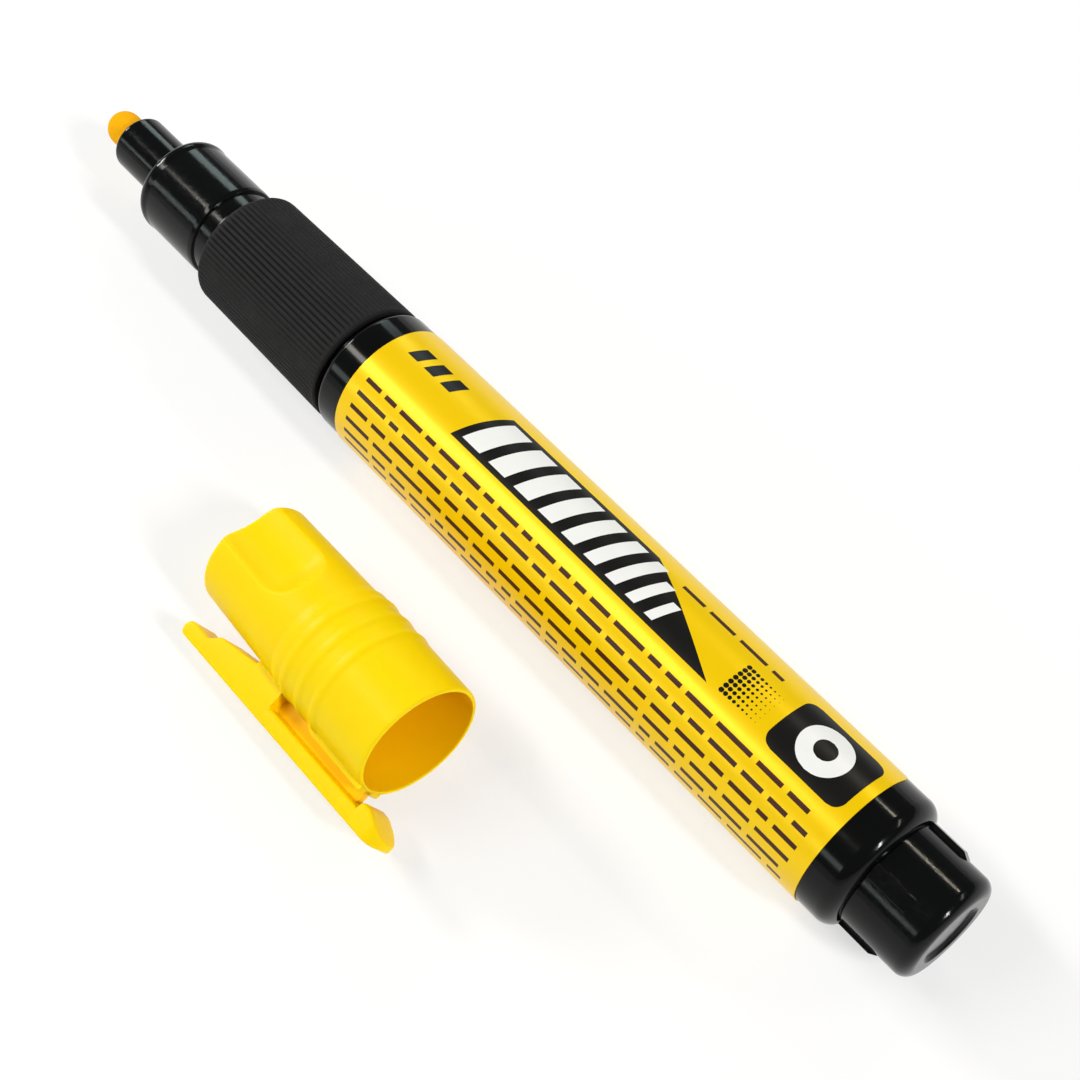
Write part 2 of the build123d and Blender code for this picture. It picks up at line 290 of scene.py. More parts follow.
# Metallised film under clear yellow ink: golden, so that even its highlight is a lemon yellow
LABEL_FILM = Finish(
    "film_metallised_yellow", "#FBD302", "#F7CA01", mottle_mm=14.0, roughness=(0.26, 0.34), rough_mm=6.0,
    grain_mm=1.6, grain_depth_mm=0.0015, stretch=3.0, metallic=0.18, specular=0.22,
)
# Printing inks under one varnish: black, a dark brown-red for fine lines, and an opaque white
INK_BLACK = Finish(
    "ink_black_varnished", "#141311", "#0E0D0C", mottle_mm=2.0, roughness=(0.25, 0.36), rough_mm=3.0,
    grain_mm=0.5, grain_depth_mm=0.0008, specular=0.3,
)
INK_BROWN = Finish(
    "ink_brown_varnished", "#4A200D", "#38160A", mottle_mm=1.5, roughness=(0.25, 0.36), rough_mm=3.0,
    grain_mm=0.5, grain_depth_mm=0.0008, specular=0.25,
)
INK_WHITE = Finish(
    "ink_white_varnished", "#F1F1F0", "#E8E8E6", mottle_mm=2.5, roughness=(0.25, 0.36), rough_mm=3.0,
    grain_mm=0.5, grain_depth_mm=0.0008,
)
# Yellow polypropylene, moulded: satin, and light goes a little way in, so hollows and edges glow orange
CAP_MOULDING = Finish(
    "polypropylene_yellow_moulded", "#FEDA04", "#FDD202", mottle_mm=7.0, roughness=(0.36, 0.48), rough_mm=3.0,
    grain_mm=0.6, grain_depth_mm=0.003, specular=0.09, subsurface=0.35, subsurface_mm=(1.8, 0.8, 0.03),
)
# The same polypropylene, a little smoother, for the faces inside the cap and for the ledge; its deeper gold is
# painted shade, the orange that bounced light gives the hollows
CAP_PAINTED_HOLLOW_SHADE = Finish(
    "polypropylene_yellow_painted_hollow_shade", "#FFCF04", "#FEC602", mottle_mm=7.0, roughness=(0.3, 0.4), rough_mm=3.0,
    grain_mm=0.6, grain_depth_mm=0.002, specular=0.09,
)
# Uncoloured polyethylene: waxy, milky white
NATURAL_MOULDING = Finish(
    "polyethylene_natural_moulded", "#E6E2D6", "#D9D4C6", mottle_mm=3.0, roughness=(0.4, 0.55), rough_mm=2.0,
    grain_mm=0.4, grain_depth_mm=0.003, subsurface=0.3, subsurface_mm=(0.8, 0.7, 0.6),
)
# Nitrile washer: dull dark grey
SEAL_RUBBER = Finish(
    "nitrile_black_pressed", "#1E1E1F", "#151516", mottle_mm=0.8, roughness=(0.6, 0.75), rough_mm=1.0,
    grain_mm=0.1, grain_depth_mm=0.006,
)
# Drawn stainless wire: bright, with fine lines along the wire
SPRING_WIRE = Finish(
    "stainless_wire_drawn", "#B9BABD", "#9D9EA2", mottle_mm=0.4, roughness=(0.2, 0.35), rough_mm=0.6,
    grain_mm=0.08, grain_depth_mm=0.002, metallic=1.0,
)
# Ground bearing ball: near mirror
BALL_STEEL = Finish(
    "steel_ball_ground", "#C9CACD", "#BDBEC2", mottle_mm=1.2, roughness=(0.06, 0.12), rough_mm=0.8,
    grain_mm=0.2, grain_depth_mm=0.0006, metallic=1.0,
)


def make_object(
    name: str,
    verts: Sequence[Sequence[float]],
    faces: Sequence[Sequence[int]],
    finish: Finish,
) -> bpy.types.Object:
    """Makes a smooth-shaded mesh object from points in millimetres.

    Args:
        name: Piece name.
        verts: Points in the row frame.
        faces: Vertex numbers of each face.
        finish: Surface of the piece.

    Returns:
        The linked object.
    """
    mesh = bpy.data.meshes.new(name)
    mesh.from_pydata([tuple(c * MM for c in v) for v in verts], [], [tuple(f) for f in faces])
    mesh.validate()
    mesh.shade_smooth()
    mesh.set_sharp_from_angle(angle=math.radians(SHARP_DEG))
    mesh.materials.append(finish.material())
    made = bpy.data.objects.new(name, mesh)
    bpy.context.scene.collection.objects.link(made)
    return made


def rounded(corners: Sequence[Triple], steps: int = 6) -> list[Point]:
    """Closed outline with its corners rounded.

    Args:
        corners: (station, radius, rounding) of each corner in order.
        steps: Steps per rounded corner.

    Returns:
        Outline points.
    """
    points: list[Point] = []
    count = len(corners)
    for i, (x, r, rounding) in enumerate(corners):
        here = Vector((x, r))
        if not rounding:
            points.append((x, r))
            continue
        before = (Vector(corners[i - 1][:2]) - here).normalized()
        after = (Vector(corners[(i + 1) % count][:2]) - here).normalized()
        half = before.angle(after) / 2
        centre = here + (before + after).normalized() * (rounding / math.sin(half))
        start = here + before * (rounding / math.tan(half)) - centre
        end = here + after * (rounding / math.tan(half)) - centre
        turn = start.angle_signed(end)
        for k in range(steps + 1):
            part = start.copy()
            part.rotate(Matrix.Rotation(-turn * k / steps, 2))
            points.append(tuple(centre + part))
    return points


def quarter_round(share: float, least: float = 0.0) -> float:
    """Size along a rounded end.

    Args:
        share: How far along the rounding a point is, where 1 and more is past it.
        least: Square of the least size.

    Returns:
        Share of the full size at that point.
    """
    return math.sqrt(max(1 - (1 - min(share, 1.0)) ** 2, least))


def soft_min(a: float, b: float, blend: float) -> float:
    """Lesser of two lengths with a rounded corner of size blend between them."""
    part = max(blend - abs(a - b), 0.0) / blend
    return min(a, b) - part * part * blend / 4


def lathe(
    name: str,
    outline: Sequence[Point],
    segments: int,
    place: Matrix,
    finish: Finish,
    radius_at: Callable[[float, float, float], float] | None = None,
) -> bpy.types.Object:
    """Turns a closed outline about the X axis.

    Args:
        name: Piece name.
        outline: (x, radius) points; a radius of 0 is a pole.
        segments: Steps round the axis.
        place: From the outline's frame to the row frame.
        finish: Surface of the piece.
        radius_at: Gives the radius for (x, radius, angle), or None for a plain turning.

    Returns:
        The linked object.
    """
    known: dict[Triple, int] = {}
    rings: list[list[int]] = []
    for x, r in outline:
        ring = []
        for i in range(segments):
            angle = 2 * math.pi * i / segments
            rr = radius_at(x, r, angle) if radius_at else r
            spot = (x, -rr * math.sin(angle), rr * math.cos(angle))
            spot = tuple(round(c, WELD_DIGITS) for c in spot)
            ring.append(known.setdefault(spot, len(known)))
        rings.append(ring)
    verts = [place @ Vector(spot) for spot in known]
    faces = []
    for k, a in enumerate(rings):
        b = rings[(k + 1) % len(rings)]
        for i in range(segments):
            j = (i + 1) % segments
            face = list(dict.fromkeys((a[i], a[j], b[j], b[i])))
            if len(face) > 2:
                faces.append(face)
    return make_object(name, verts, faces, finish)


def loft(name: str, sections: Sequence[Sequence[Vector]], place: Matrix, finish: Finish) -> bpy.types.Object:
    """Skins closed sections that have the same number of points, and closes both ends.

    Args:
        name: Piece name.
        sections: Points of each section.
        place: From the sections' frame to the row frame.
        finish: Surface of the piece.

    Returns:
        The linked object.
    """
    size = len(sections[0])
    verts = [place @ p for section in sections for p in section]
    faces: list[list[int]] = []
    for s in range(len(sections) - 1):
        for i in range(size):
            a, b = s * size + i, s * size + (i + 1) % size
            faces.append([a, b, b + size, a + size])
    last = (len(sections) - 1) * size
    faces.append(list(reversed(range(size))))
    faces.append([last + i for i in range(size)])
    return make_object(name, verts, faces, finish)


def bar_section(
    x: float, inner: float, outer: float, half: float, corner: float = 0.32, steps: int = 4
) -> list[Vector]:
    """Rectangle with rounded corners, square to the cap's axis.

    Args:
        x: Place along the axis.
        inner: Distance of its inner side from the axis.
        outer: Distance of its outer side.
        half: Half its width.
        corner: Corner radius.
        steps: Steps per corner.

    Returns:
        Points of the section.
    """
    corner = min(corner, half * CORNER_SHARE, (outer - inner) / 2 * CORNER_SHARE)
    high, low, side = outer - corner, inner + corner, half - corner
    points = []
    for quarter, (r, w) in enumerate(((high, side), (low, side), (low, -side), (high, -side))):
        for k in range(steps + 1):
            turn = QUARTER * (quarter + k / steps)
            points.append(Vector((x, -(r + corner * math.cos(turn)), w + corner * math.sin(turn))))
    return points


def facing(place: Vector, right: Vector, back: Vector) -> Matrix:
    """World matrix of a lamp or a camera, from its place in metres and where its right side and its back point."""
    return Matrix.Translation(place) @ Matrix((right, back.cross(right), back)).transposed().to_4x4()


def adopt(piece: bpy.types.Object, body: Body, slot: Slot, *nodes: str) -> None:
    """Lets a piece ride on its body and stand for solids.

    Args:
        piece: Piece in place.
        body: Body that it moves with.
        slot: Material slot of the record; not used.
        *nodes: Solids that it stands for.
    """
    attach(piece, body.value)
    if nodes:
        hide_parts(*nodes)
    LOG.info("piece %s on %s for %s", piece.name, body.value, ", ".join(nodes) or "no solid")


def dress(solids: Solids, names: Iterable[str], finish: Finish) -> None:
    """Gives solids that show as they are their finish.

    Args:
        solids: Solids by name.
        names: Which of them to dress.
        finish: Their surface.
    """
    for name in names:
        mesh = solids[name].data
        mesh.materials.clear()
        mesh.materials.append(finish.material())
        LOG.info("solid %s dressed as %s", name, finish.name)


def span_along(node: str) -> Point:
    """First and last millimetre of a solid along X."""
    low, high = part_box(node)
    return low.x / MM, high.x / MM


@dataclass
class MarkerFrame:
    """Where the marker's axis lies in the row frame.

    Attributes:
        y: Axis across.
        z: Axis height.
    """

    y: float
    z: float

    @classmethod
    def from_solids(cls) -> MarkerFrame:
        """Reads the axis from the nib's box.

        Returns:
            The marker's frame.
        """
        low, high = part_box("nib")
        return cls((low.y + high.y) / 2 / MM, (low.z + high.z) / 2 / MM)

    @property
    def matrix(self) -> Matrix:
        """From (x in the row frame, across, up from the axis) to the row frame."""
        return Matrix.Translation((0, self.y, self.z))


@dataclass
class Nose:
    """Felt nib in its black moulded nose.

    Attributes:
        nib_radius: Radius of the felt rod.
        dome_steps: Steps along the nib's dome.
        segments: Steps round the nib.
    """

    nib_radius: float = 2.1
    dome_steps: int = 12
    segments: int = 96

    def build(self, frame: MarkerFrame, solids: Solids) -> None:
        """Builds the nib and dresses the moulding.

        Args:
            frame: Marker's axis.
            solids: Solids by name.
        """
        tip, rear = span_along("nib")
        outline: list[Point] = []
        for k in range(self.dome_steps + 1):
            turn = QUARTER * k / self.dome_steps
            outline.append((tip + self.nib_radius * (1 - math.cos(turn)), self.nib_radius * math.sin(turn)))
        outline += [(rear, self.nib_radius), (rear, 0.0)]
        nib = lathe("nib_felt", outline, self.segments, frame.matrix, FELT)
        adopt(nib, Body.NIB, Slot.FELT, "nib")
        dress(solids, ["front_section"], BLACK_MOULDING)


@dataclass
class Grip:
    """Ribbed rubber sleeve.

    Attributes:
        bore: Inner radius.
        bore_wall: Rubber nearest the bore, which has no ribs.
        front_radius: Outer radius towards the nib.
        rear_radius: Outer radius towards the barrel.
        front_rounding: Rounding of the front edge.
        rear_rounding: Rounding of the rear edge.
        flare: How much the radius grows along each rim.
        plain_front: Length of the smooth rim in front of the ribs.
        plain_rear: Length of the smooth rim behind them.
        rim_runs: Length of the outline's run along each rim, in lengths of the smooth part.
        ribs: Ribs round the sleeve.
        groove: Depth of the grooves between the ribs.
        groove_run_in: Length along which a groove deepens at each end.
        crest_power: Shape of the ribs, less than 1 for flat crests and narrow grooves.
        steps_per_rib: Mesh steps across one rib.
    """

    bore: float = 6.07
    bore_wall: float = 0.3
    front_radius: float = 7.05
    rear_radius: float = 7.28
    front_rounding: float = 0.7
    rear_rounding: float = 0.3
    flare: float = 0.01
    plain_front: float = 0.55
    plain_rear: float = 0.5
    rim_runs: float = 2.2
    ribs: int = 72
    groove: float = 0.24
    groove_run_in: float = 0.4
    crest_power: float = 0.55
    steps_per_rib: int = 10

    def build(self, frame: MarkerFrame) -> None:
        """Builds the sleeve with its ribs.

        Args:
            frame: Marker's axis.
        """
        front, rear = span_along("grip_sleeve")
        outline = rounded(
            [
                (front, self.bore, 0.0),
                (front, self.front_radius, self.front_rounding),
                (front + self.plain_front * self.rim_runs, self.front_radius + self.flare, 0.0),
                (rear - self.plain_rear * self.rim_runs, self.rear_radius - self.flare, 0.0),
                (rear, self.rear_radius, self.rear_rounding),
                (rear, self.bore, 0.0),
            ]
        )

        def ribbed(x: float, r: float, angle: float) -> float:
            """Radius of the sleeve at a point, with its ribs.

            Args:
                x: Place along the axis.
                r: Plain radius.
                angle: Turn about the axis.

            Returns:
                Radius of that point.
            """
            into = min(x - front - self.plain_front, rear - self.plain_rear - x) / self.groove_run_in
            if into <= 0 or r < self.bore + self.bore_wall:
                return r
            crest = abs(math.sin(self.ribs * angle / 2)) ** self.crest_power
            return r - self.groove * min(into, 1.0) * (1 - crest)

        sleeve = lathe("grip_ribbed", outline, self.ribs * self.steps_per_rib, frame.matrix, GRIP_RUBBER, ribbed)
        adopt(sleeve, Body.BARREL, Slot.GRIP, "grip_sleeve")


@dataclass
class Mark:
    """One printed shape, as the span along the label at each place round it.

    Attributes:
        low: First arc position, from the top towards the cap.
        high: Last arc position.
        span: Gives the first and last millimetre along the label for an arc position.
        strip: Widest strip that the shape is cut into, so that it follows the curve.
    """

    low: float
    high: float
    span: Callable[[float], Point]
    strip: float = 0.15

    @property
    def rows(self) -> int:
        """Strips that the shape is cut into."""
        return max(2, math.ceil((self.high - self.low) / self.strip))


def slanted_bar(start: float, end: float, low: float, high: float, slant: float = 0.0) -> Mark:
    """Bar that leans along the label.

    Args:
        start: First millimetre along the label, at low.
        end: Last millimetre, at low.
        low: First arc position.
        high: Last arc position.
        slant: Millimetres that it leans for each millimetre of arc.

    Returns:
        The mark.
    """
    return Mark(low, high, lambda v: (start + slant * (v - low), end + slant * (v - low)))


def disc(along: float, arc: float, radius: float) -> Mark:
    """Round spot.

    Args:
        along: Centre along the label.
        arc: Centre round it.
        radius: Radius of the spot.

    Returns:
        The mark.
    """
    widest_strip, strips_in_radius, least_half_squared = 0.12, 5, 1e-6

    def span(v: float) -> Point:
        """Chord of the spot."""
        half = math.sqrt(max(radius**2 - (v - arc) ** 2, least_half_squared))
        return along - half, along + half

    return Mark(arc - radius, arc + radius, span, min(widest_strip, radius / strips_in_radius))


def rounded_panel(start: float, end: float, low: float, high: float, corner: float) -> Mark:
    """Panel with rounded corners.

    Args:
        start: First millimetre along the label.
        end: Last millimetre.
        low: First arc position.
        high: Last arc position.
        corner: Corner radius.

    Returns:
        The mark.
    """

    def span(v: float) -> Point:
        """Length of the panel with its corners taken off.

        Args:
            v: Arc position.

        Returns:
            First and last millimetre along the label.
        """
        edge = max(min(v - low, high - v, corner), 0.0)
        inset = corner - math.sqrt(max(corner**2 - (corner - edge) ** 2, 0.0))
        return start + inset, end - inset

    return Mark(low, high, span)


@dataclass
class LabelPrint:
    """Plain printed shapes: three bars, a striped block, a dot screen, a ring on a panel and rows of dashes.

    Places are along the label from its front, and round it from the top towards the cap.

    Attributes:
        lean: Millimetres that slanted edges lean forwards for each millimetre of arc.
        bars: Number of bars.
        bar_front: Where the first bar starts.
        bar_width: Width of a bar.
        bar_pitch: From one bar to the next.
        bar_arc: Arc span of the bars.
        block: Span of the black block, at its longer side.
        block_arc: Arc span of the block.
        block_taper: How much its rear end draws in for each millimetre of arc.
        stripes: Number of white stripes in the block.
        stripe_front: Where the first stripe starts.
        stripe_width: Width of the first stripe.
        stripe_less: How much narrower each next one is.
        stripe_gap: Gap between two stripes.
        stripe_arc: Arc span of the stripes.
        stripe_rear: Black left between a stripe and the block's tapered end.
        dots: Columns and rows of the dot screen.
        dot_start: Centre of its first dot.
        dot_pitch: From one dot to the next, along and round.
        dot_radius: Radius of the first column's dots.
        dot_fade: Columns after which a dot would be gone.
        panel: Span of the black panel.
        panel_arc: Arc span of the panel.
        panel_corner: Its corner radius.
        ring: Centre of the white ring.
        ring_radii: Radius of its black centre and its outer radius.
        line_rows: Arc positions of the rows of dashes.
        line_ends: What the rows leave free at the label's front and rear.
        short_row: Arc position of a short row.
        short_span: Span of the short row.
        line_height: Height of a dash.
        dash: Shortest and longest dash.
        dash_gap: Gap between two dashes.
        dash_rest: Least room in which one more dash is started.
        seed: Start of the dashes' lengths.
    """

    lean: float = 0.35
    bars: int = 3
    bar_front: float = 3.0
    bar_width: float = 1.6
    bar_pitch: float = 2.6
    bar_arc: Point = (-3.0, -0.9)
    block: Point = (13.0, 50.2)
    block_arc: Point = (-4.4, 2.2)
    block_taper: float = 2.0
    stripes: int = 9
    stripe_front: float = 14.2
    stripe_width: float = 2.7
    stripe_less: float = 0.2
    stripe_gap: float = 1.35
    stripe_arc: Point = (-3.8, 1.6)
    stripe_rear: float = 1.2
    dots: tuple[int, int] = (9, 7)
    dot_start: Point = (51.6, -1.9)
    dot_pitch: Point = (0.55, 0.6)
    dot_radius: float = 0.27
    dot_fade: float = 9.5
    panel: Point = (57.4, 66.9)
    panel_arc: Point = (-4.7, 2.5)
    panel_corner: float = 1.3
    ring: Point = (62.1, -1.1)
    ring_radii: Point = (1.15, 2.75)
    line_rows: Sequence[float] = (4.1, 5.75, 7.4, 9.05, 10.7, 12.2)
    line_ends: Point = (1.6, 1.8)
    short_row: float = -3.7
    short_span: Point = (41.0, 55.5)
    line_height: float = 0.5
    dash: Point = (1.2, 4.6)
    dash_gap: float = 0.75
    dash_rest: float = 1.0
    seed: int = 7

    def black_marks(self) -> list[Mark]:
        """Block, panel, bars and dot screen.

        Returns:
            Black shapes.
        """
        marks = [
            Mark(*self.block_arc, self._block_span),
            rounded_panel(*self.panel, *self.panel_arc, self.panel_corner),
        ]
        for k in range(self.bars):
            front = self.bar_front + self.bar_pitch * k
            marks.append(slanted_bar(front, front + self.bar_width, *self.bar_arc, -self.lean))
        columns, rows = self.dots
        for i in range(columns):
            for j in range(rows):
                along = self.dot_start[0] + self.dot_pitch[0] * i
                arc = self.dot_start[1] + self.dot_pitch[1] * j
                marks.append(disc(along, arc, self.dot_radius * (1 - i / self.dot_fade)))
        return marks

    def _block_span(self, v: float) -> Point:
        """Span of the black block, which is longer towards the cap."""
        off = self.block_arc[1] - v
        return self.block[0] + self.lean * off, self.block[1] - self.block_taper * off

    def white_marks(self) -> list[Mark]:
        """Spot in the panel and slanted stripes in the block.

        Returns:
            White shapes.
        """
        marks = [disc(*self.ring, self.ring_radii[1])]
        along = self.stripe_front
        for k in range(self.stripes):
            width = self.stripe_width - self.stripe_less * k
            room = self.block[1] - self.stripe_rear - along - width
            low = max(self.stripe_arc[0], self.block_arc[1] - room / self.block_taper)
            high = self.stripe_arc[1]
            start = along + self.lean * (high - low)
            marks.append(slanted_bar(start, start + width, low, high, -self.lean))
            along += width + self.stripe_gap
        return marks

    def centre_marks(self) -> list[Mark]:
        """Black centre that makes the white spot a ring."""
        return [disc(*self.ring, self.ring_radii[0])]

    def fine_lines(self, length: float) -> list[Mark]:
        """Rows of plain dashes of uneven length.

        Args:
            length: Length of the label.

        Returns:
            Brown shapes.
        """
        lengths = random.Random(self.seed)
        ends = (self.line_ends[0], length - self.line_ends[1])
        rows = [(arc, *ends) for arc in self.line_rows] + [(self.short_row, *self.short_span)]
        marks = []
        for arc, start, end in rows:
            low, high = arc - self.line_height / 2, arc + self.line_height / 2
            while start < end - self.dash_rest:
                dash = min(lengths.uniform(*self.dash), end - start)
                marks.append(slanted_bar(start, start + dash, low, high))
                start += dash + self.dash_gap
        return marks


@dataclass
class Barrel:
    """Lacquered tube, its printed film and the plug in its rear.

    Attributes:
        film_inside: Inner radius of the film.
        film_radius: Outer radius of the film.
        seam_gap: Width of the film's seam.
        seam_corner: Corner radius at the seam.
        seam_deg: Where the seam is, from the top away from the cap.
        ink: Height of one layer of ink.
        layout: What is printed on the film.
    """

    film_inside: float = 7.42
    film_radius: float = 7.52
    seam_gap: float = 1.6
    seam_corner: float = 1.5
    seam_deg: float = 64.0
    ink: float = 0.006
    layout: LabelPrint = field(default_factory=LabelPrint)

    def build(self, frame: MarkerFrame, solids: Solids) -> None:
        """Builds the film and its print and dresses the tube and the plug.

        Args:
            frame: Marker's axis.
            solids: Solids by name.
        """
        dress(solids, ["barrel_tube"], BLACK_LACQUER)
        dress(solids, ["tail_plug"], BLACK_MOULDING)
        start, rear = span_along("label_wrap")
        length = rear - start
        first = self.seam_gap / 2 - math.radians(self.seam_deg) * self.film_radius
        last = first + 2 * math.pi * self.film_radius - self.seam_gap
        film = rounded_panel(0.0, length, first, last, self.seam_corner)
        place = frame.matrix @ Matrix.Translation((start, 0, 0))
        piece = self._wrapped("label_film", [film], place, (self.film_inside, self.film_radius), LABEL_FILM)
        adopt(piece, Body.BARREL, Slot.FILM, "label_wrap")
        for name, marks, layers, finish in (
            ("print_black", self.layout.black_marks(), 1, INK_BLACK),
            ("print_lines", self.layout.fine_lines(length), 1, INK_BROWN),
            ("print_white", self.layout.white_marks(), 2, INK_WHITE),
            ("print_centre", self.layout.centre_marks(), 3, INK_BLACK),
        ):
            radii = (self.film_radius - self.ink, self.film_radius + layers * self.ink)
            piece = self._wrapped(name, marks, place, radii, finish)
            adopt(piece, Body.BARREL, Slot.FILM)

    def _wrapped(
        self, name: str, marks: Sequence[Mark], place: Matrix, radii: Point, finish: Finish
    ) -> bpy.types.Object:
        """Bends flat shapes round the barrel as thin closed sheets.

        Args:
            name: Piece name.
            marks: Shapes to bend.
            place: From the label's front on the axis to the row frame.
            radii: Inner and outer radius of the sheets.
            finish: Their surface.

        Returns:
            One object with all the sheets.
        """
        verts: list[Vector] = []
        faces: list[list[int]] = []
        for mark in marks:
            first = len(verts)
            for k in range(mark.rows + 1):
                v = mark.low + (mark.high - mark.low) * k / mark.rows
                turn = v / self.film_radius
                for r in reversed(radii):
                    for along in mark.span(v):
                        verts.append(place @ Vector((along, -r * math.sin(turn), r * math.cos(turn))))
            for k in range(mark.rows):
                a, b = first + 4 * k, first + 4 * (k + 1)
                faces += [[a, b, b + 1, a + 1], [a + 2, a + 3, b + 3, b + 2]]
                faces += [[a, a + 2, b + 2, b], [a + 1, b + 1, b + 3, a + 3]]
            end = first + 4 * mark.rows
            faces += [[first, first + 1, first + 3, first + 2], [end, end + 2, end + 3, end + 1]]
        return make_object(name, verts, faces, finish)


@dataclass
class Valve:
    """Valve, mixing ball and other pieces that stay out of sight.

    Attributes:
        moulded: Solids that are moulded without colour.
    """

    moulded: Sequence[str] = ("valve_housing", "valve_stem", "spring_retainer")

    def build(self, solids: Solids) -> None:
        """Dresses the pieces inside.

        Args:
            solids: Solids by name.
        """
        dress(solids, self.moulded, NATURAL_MOULDING)
        dress(solids, ["valve_seal"], SEAL_RUBBER)
        dress(solids, ["valve_spring"], SPRING_WIRE)
        dress(solids, ["mixing_ball"], BALL_STEEL)


@dataclass
class Clip:
    """Cap's clip with the land and the ledge under it; distances run from the cap's mouth to its closed end.

    Attributes:
        half: Half the bar's width.
        thickness: Thickness of the bar.
        tip: How far the bar reaches past the mouth.
        tail: Where its tail ends.
        radii: Distance of its outer face from the axis at the tip and at the tail.
        tip_thickness: Thickness at the tip.
        bump: (distance, radius) of the inner face along the gripping bump at the tip.
        gap: (distance, height from the bar's inner face) along the gap over the land.
        bridge: (distance, radius) along the bridge to the cap.
        web: (distance, height from the bar's inner face) where the web behind the bridge ends.
        tip_round: Length of the tip's rounding in the bar's width.
        tip_share: Share of the width that is left at the tip.
        nose_run: Length along which the outer face drops to the tip.
        nose_drop: How far it drops.
        tail_round: Length of the tail's rounding.
        tail_taper: How much half the width shrinks at the tail.
        least_round: Square of the share of the size that is left at either end.
        end_inset: How far the first and the last section are from the ends.
        tip_steps: Steps along the tip's rounding.
        tail_steps: Steps along the tail's rounding.
        seat: Radius from which the land and the ledge rise.
        land: (distance, radius) along the land.
        land_half: Half the land's width.
        land_corner: Its corner radius.
        ledge: (distance, height from the ledge's top line) along the ledge.
        ledge_overlap: How far the ledge's top line reaches into the bar.
        ledge_half: Half the ledge's thickness.
        ledge_corner: Its corner radius.
    """

    half: float = 2.25
    thickness: float = 1.7
    tip: float = 5.5
    tail: float = 26.7
    radii: Point = (9.55, 10.4)
    tip_thickness: float = 1.2
    bump: Sequence[Point] = ((-2.7, 7.2), (-2.3, 7.1), (-1.5, 7.1), (-1.34, 7.22), (-1.3, 7.5))
    gap: Sequence[Point] = ((-1.28, 0.0), (12.7, 0.0), (12.95, -0.35))
    bridge: Sequence[Point] = ((13.0, 6.0), (17.3, 6.0), (17.35, 6.5))
    web: Sequence[Point] = ((22.3, -1.05), (22.6, -0.85), (23.3, -0.1), (23.7, 0.0))
    tip_round: float = 2.1
    tip_share: float = 0.1
    nose_run: float = 1.9
    nose_drop: float = 0.75
    tail_round: float = 0.85
    tail_taper: float = 0.5
    least_round: float = 0.0004
    end_inset: float = 0.001
    tip_steps: int = 12
    tail_steps: int = 8
    seat: float = 6.32
    land: Sequence[Point] = ((0.02, 6.85), (0.15, 6.95), (7.7, 6.95), (7.95, 6.89), (8.9, 6.4))
    land_half: float = 2.1
    land_corner: float = 0.1
    ledge: Sequence[Point] = ((0.02, -0.12), (0.2, 0.0), (13.0, 0.0), (13.6, -0.3))
    ledge_overlap: float = 0.05
    ledge_half: float = 0.5
    ledge_corner: float = 0.12

    def _outside(self, distance: float) -> float:
        """Distance of the bar's outer face from the axis."""
        share = (distance + self.tip) / (self.tail + self.tip)
        return self.radii[0] + (self.radii[1] - self.radii[0]) * share

    def _from_bar(self, heights: Iterable[Point]) -> list[Point]:
        """Turns (distance, height from the bar's inner face) into (distance, radius)."""
        return [(d, self._outside(d) - self.thickness + height) for d, height in heights]

    def _inner_face(self) -> list[Point]:
        """Inner face of the clip from the tip over bump, gap, bridge and web to the tail.

        Returns:
            (distance, radius) of its corners.
        """
        tip = (-self.tip, self._outside(-self.tip) - self.tip_thickness)
        tail = self._from_bar([(self.tail, 0.0)])
        return [tip, *self.bump, *self._from_bar(self.gap), *self.bridge, *self._from_bar(self.web), *tail]

    @staticmethod
    def _between(corners: Sequence[Point], distance: float) -> float:
        """Radius on the straight runs between corners.

        Args:
            corners: (distance, radius) of the corners in order.
            distance: Where to read it.

        Returns:
            The radius there.
        """
        for (a, ra), (b, rb) in zip(corners, corners[1:]):
            if distance <= b:
                return ra + (rb - ra) * (distance - a) / (b - a)
        return corners[-1][1]

    def sections(self) -> list[list[Vector]]:
        """Rounded cross-sections along the bar.

        Returns:
            Sections from the tip to the tail.
        """
        corners = self._inner_face()
        marks = {distance for distance, _ in corners[1:-1]}
        for k in range(self.tip_steps + 1):
            marks.add(self.end_inset - self.tip + self.tip_round * (1 - math.cos(QUARTER * k / self.tip_steps)))
        for k in range(self.tail_steps + 1):
            marks.add(self.tail - self.end_inset - self.tail_round * (1 - math.cos(QUARTER * k / self.tail_steps)))
        sections = []
        for distance in sorted(marks):
            from_tip, from_tail = distance + self.tip, self.tail - distance
            front = quarter_round(from_tip / self.tip_round, self.least_round)
            back = quarter_round(from_tail / self.tail_round, self.least_round)
            outer = self._outside(distance) - self.nose_drop * (1 - quarter_round(from_tip / self.nose_run))
            inner = self._between(corners, distance)
            middle, thick = (outer + inner) / 2, (outer - inner) / 2 * back
            half = self.half - self.tail_taper * (1 - back)
            half *= self.tip_share + (1 - self.tip_share) * front
            sections.append(bar_section(-distance, middle - thick, middle + thick, half))
        return sections

    def land_sections(self) -> list[list[Vector]]:
        """Cross-sections of the land under the clip, from the mouth to the end of its ramp."""
        return [bar_section(-d, self.seat, top, self.land_half, self.land_corner) for d, top in self.land]

    def ledge_sections(self) -> list[list[Vector]]:
        """Cross-sections of the ledge along the middle of the clip's gap, from the mouth to the bridge."""
        tops = self._from_bar((d, height + self.ledge_overlap) for d, height in self.ledge)
        return [bar_section(-d, self.seat, top, self.ledge_half, self.ledge_corner) for d, top in tops]


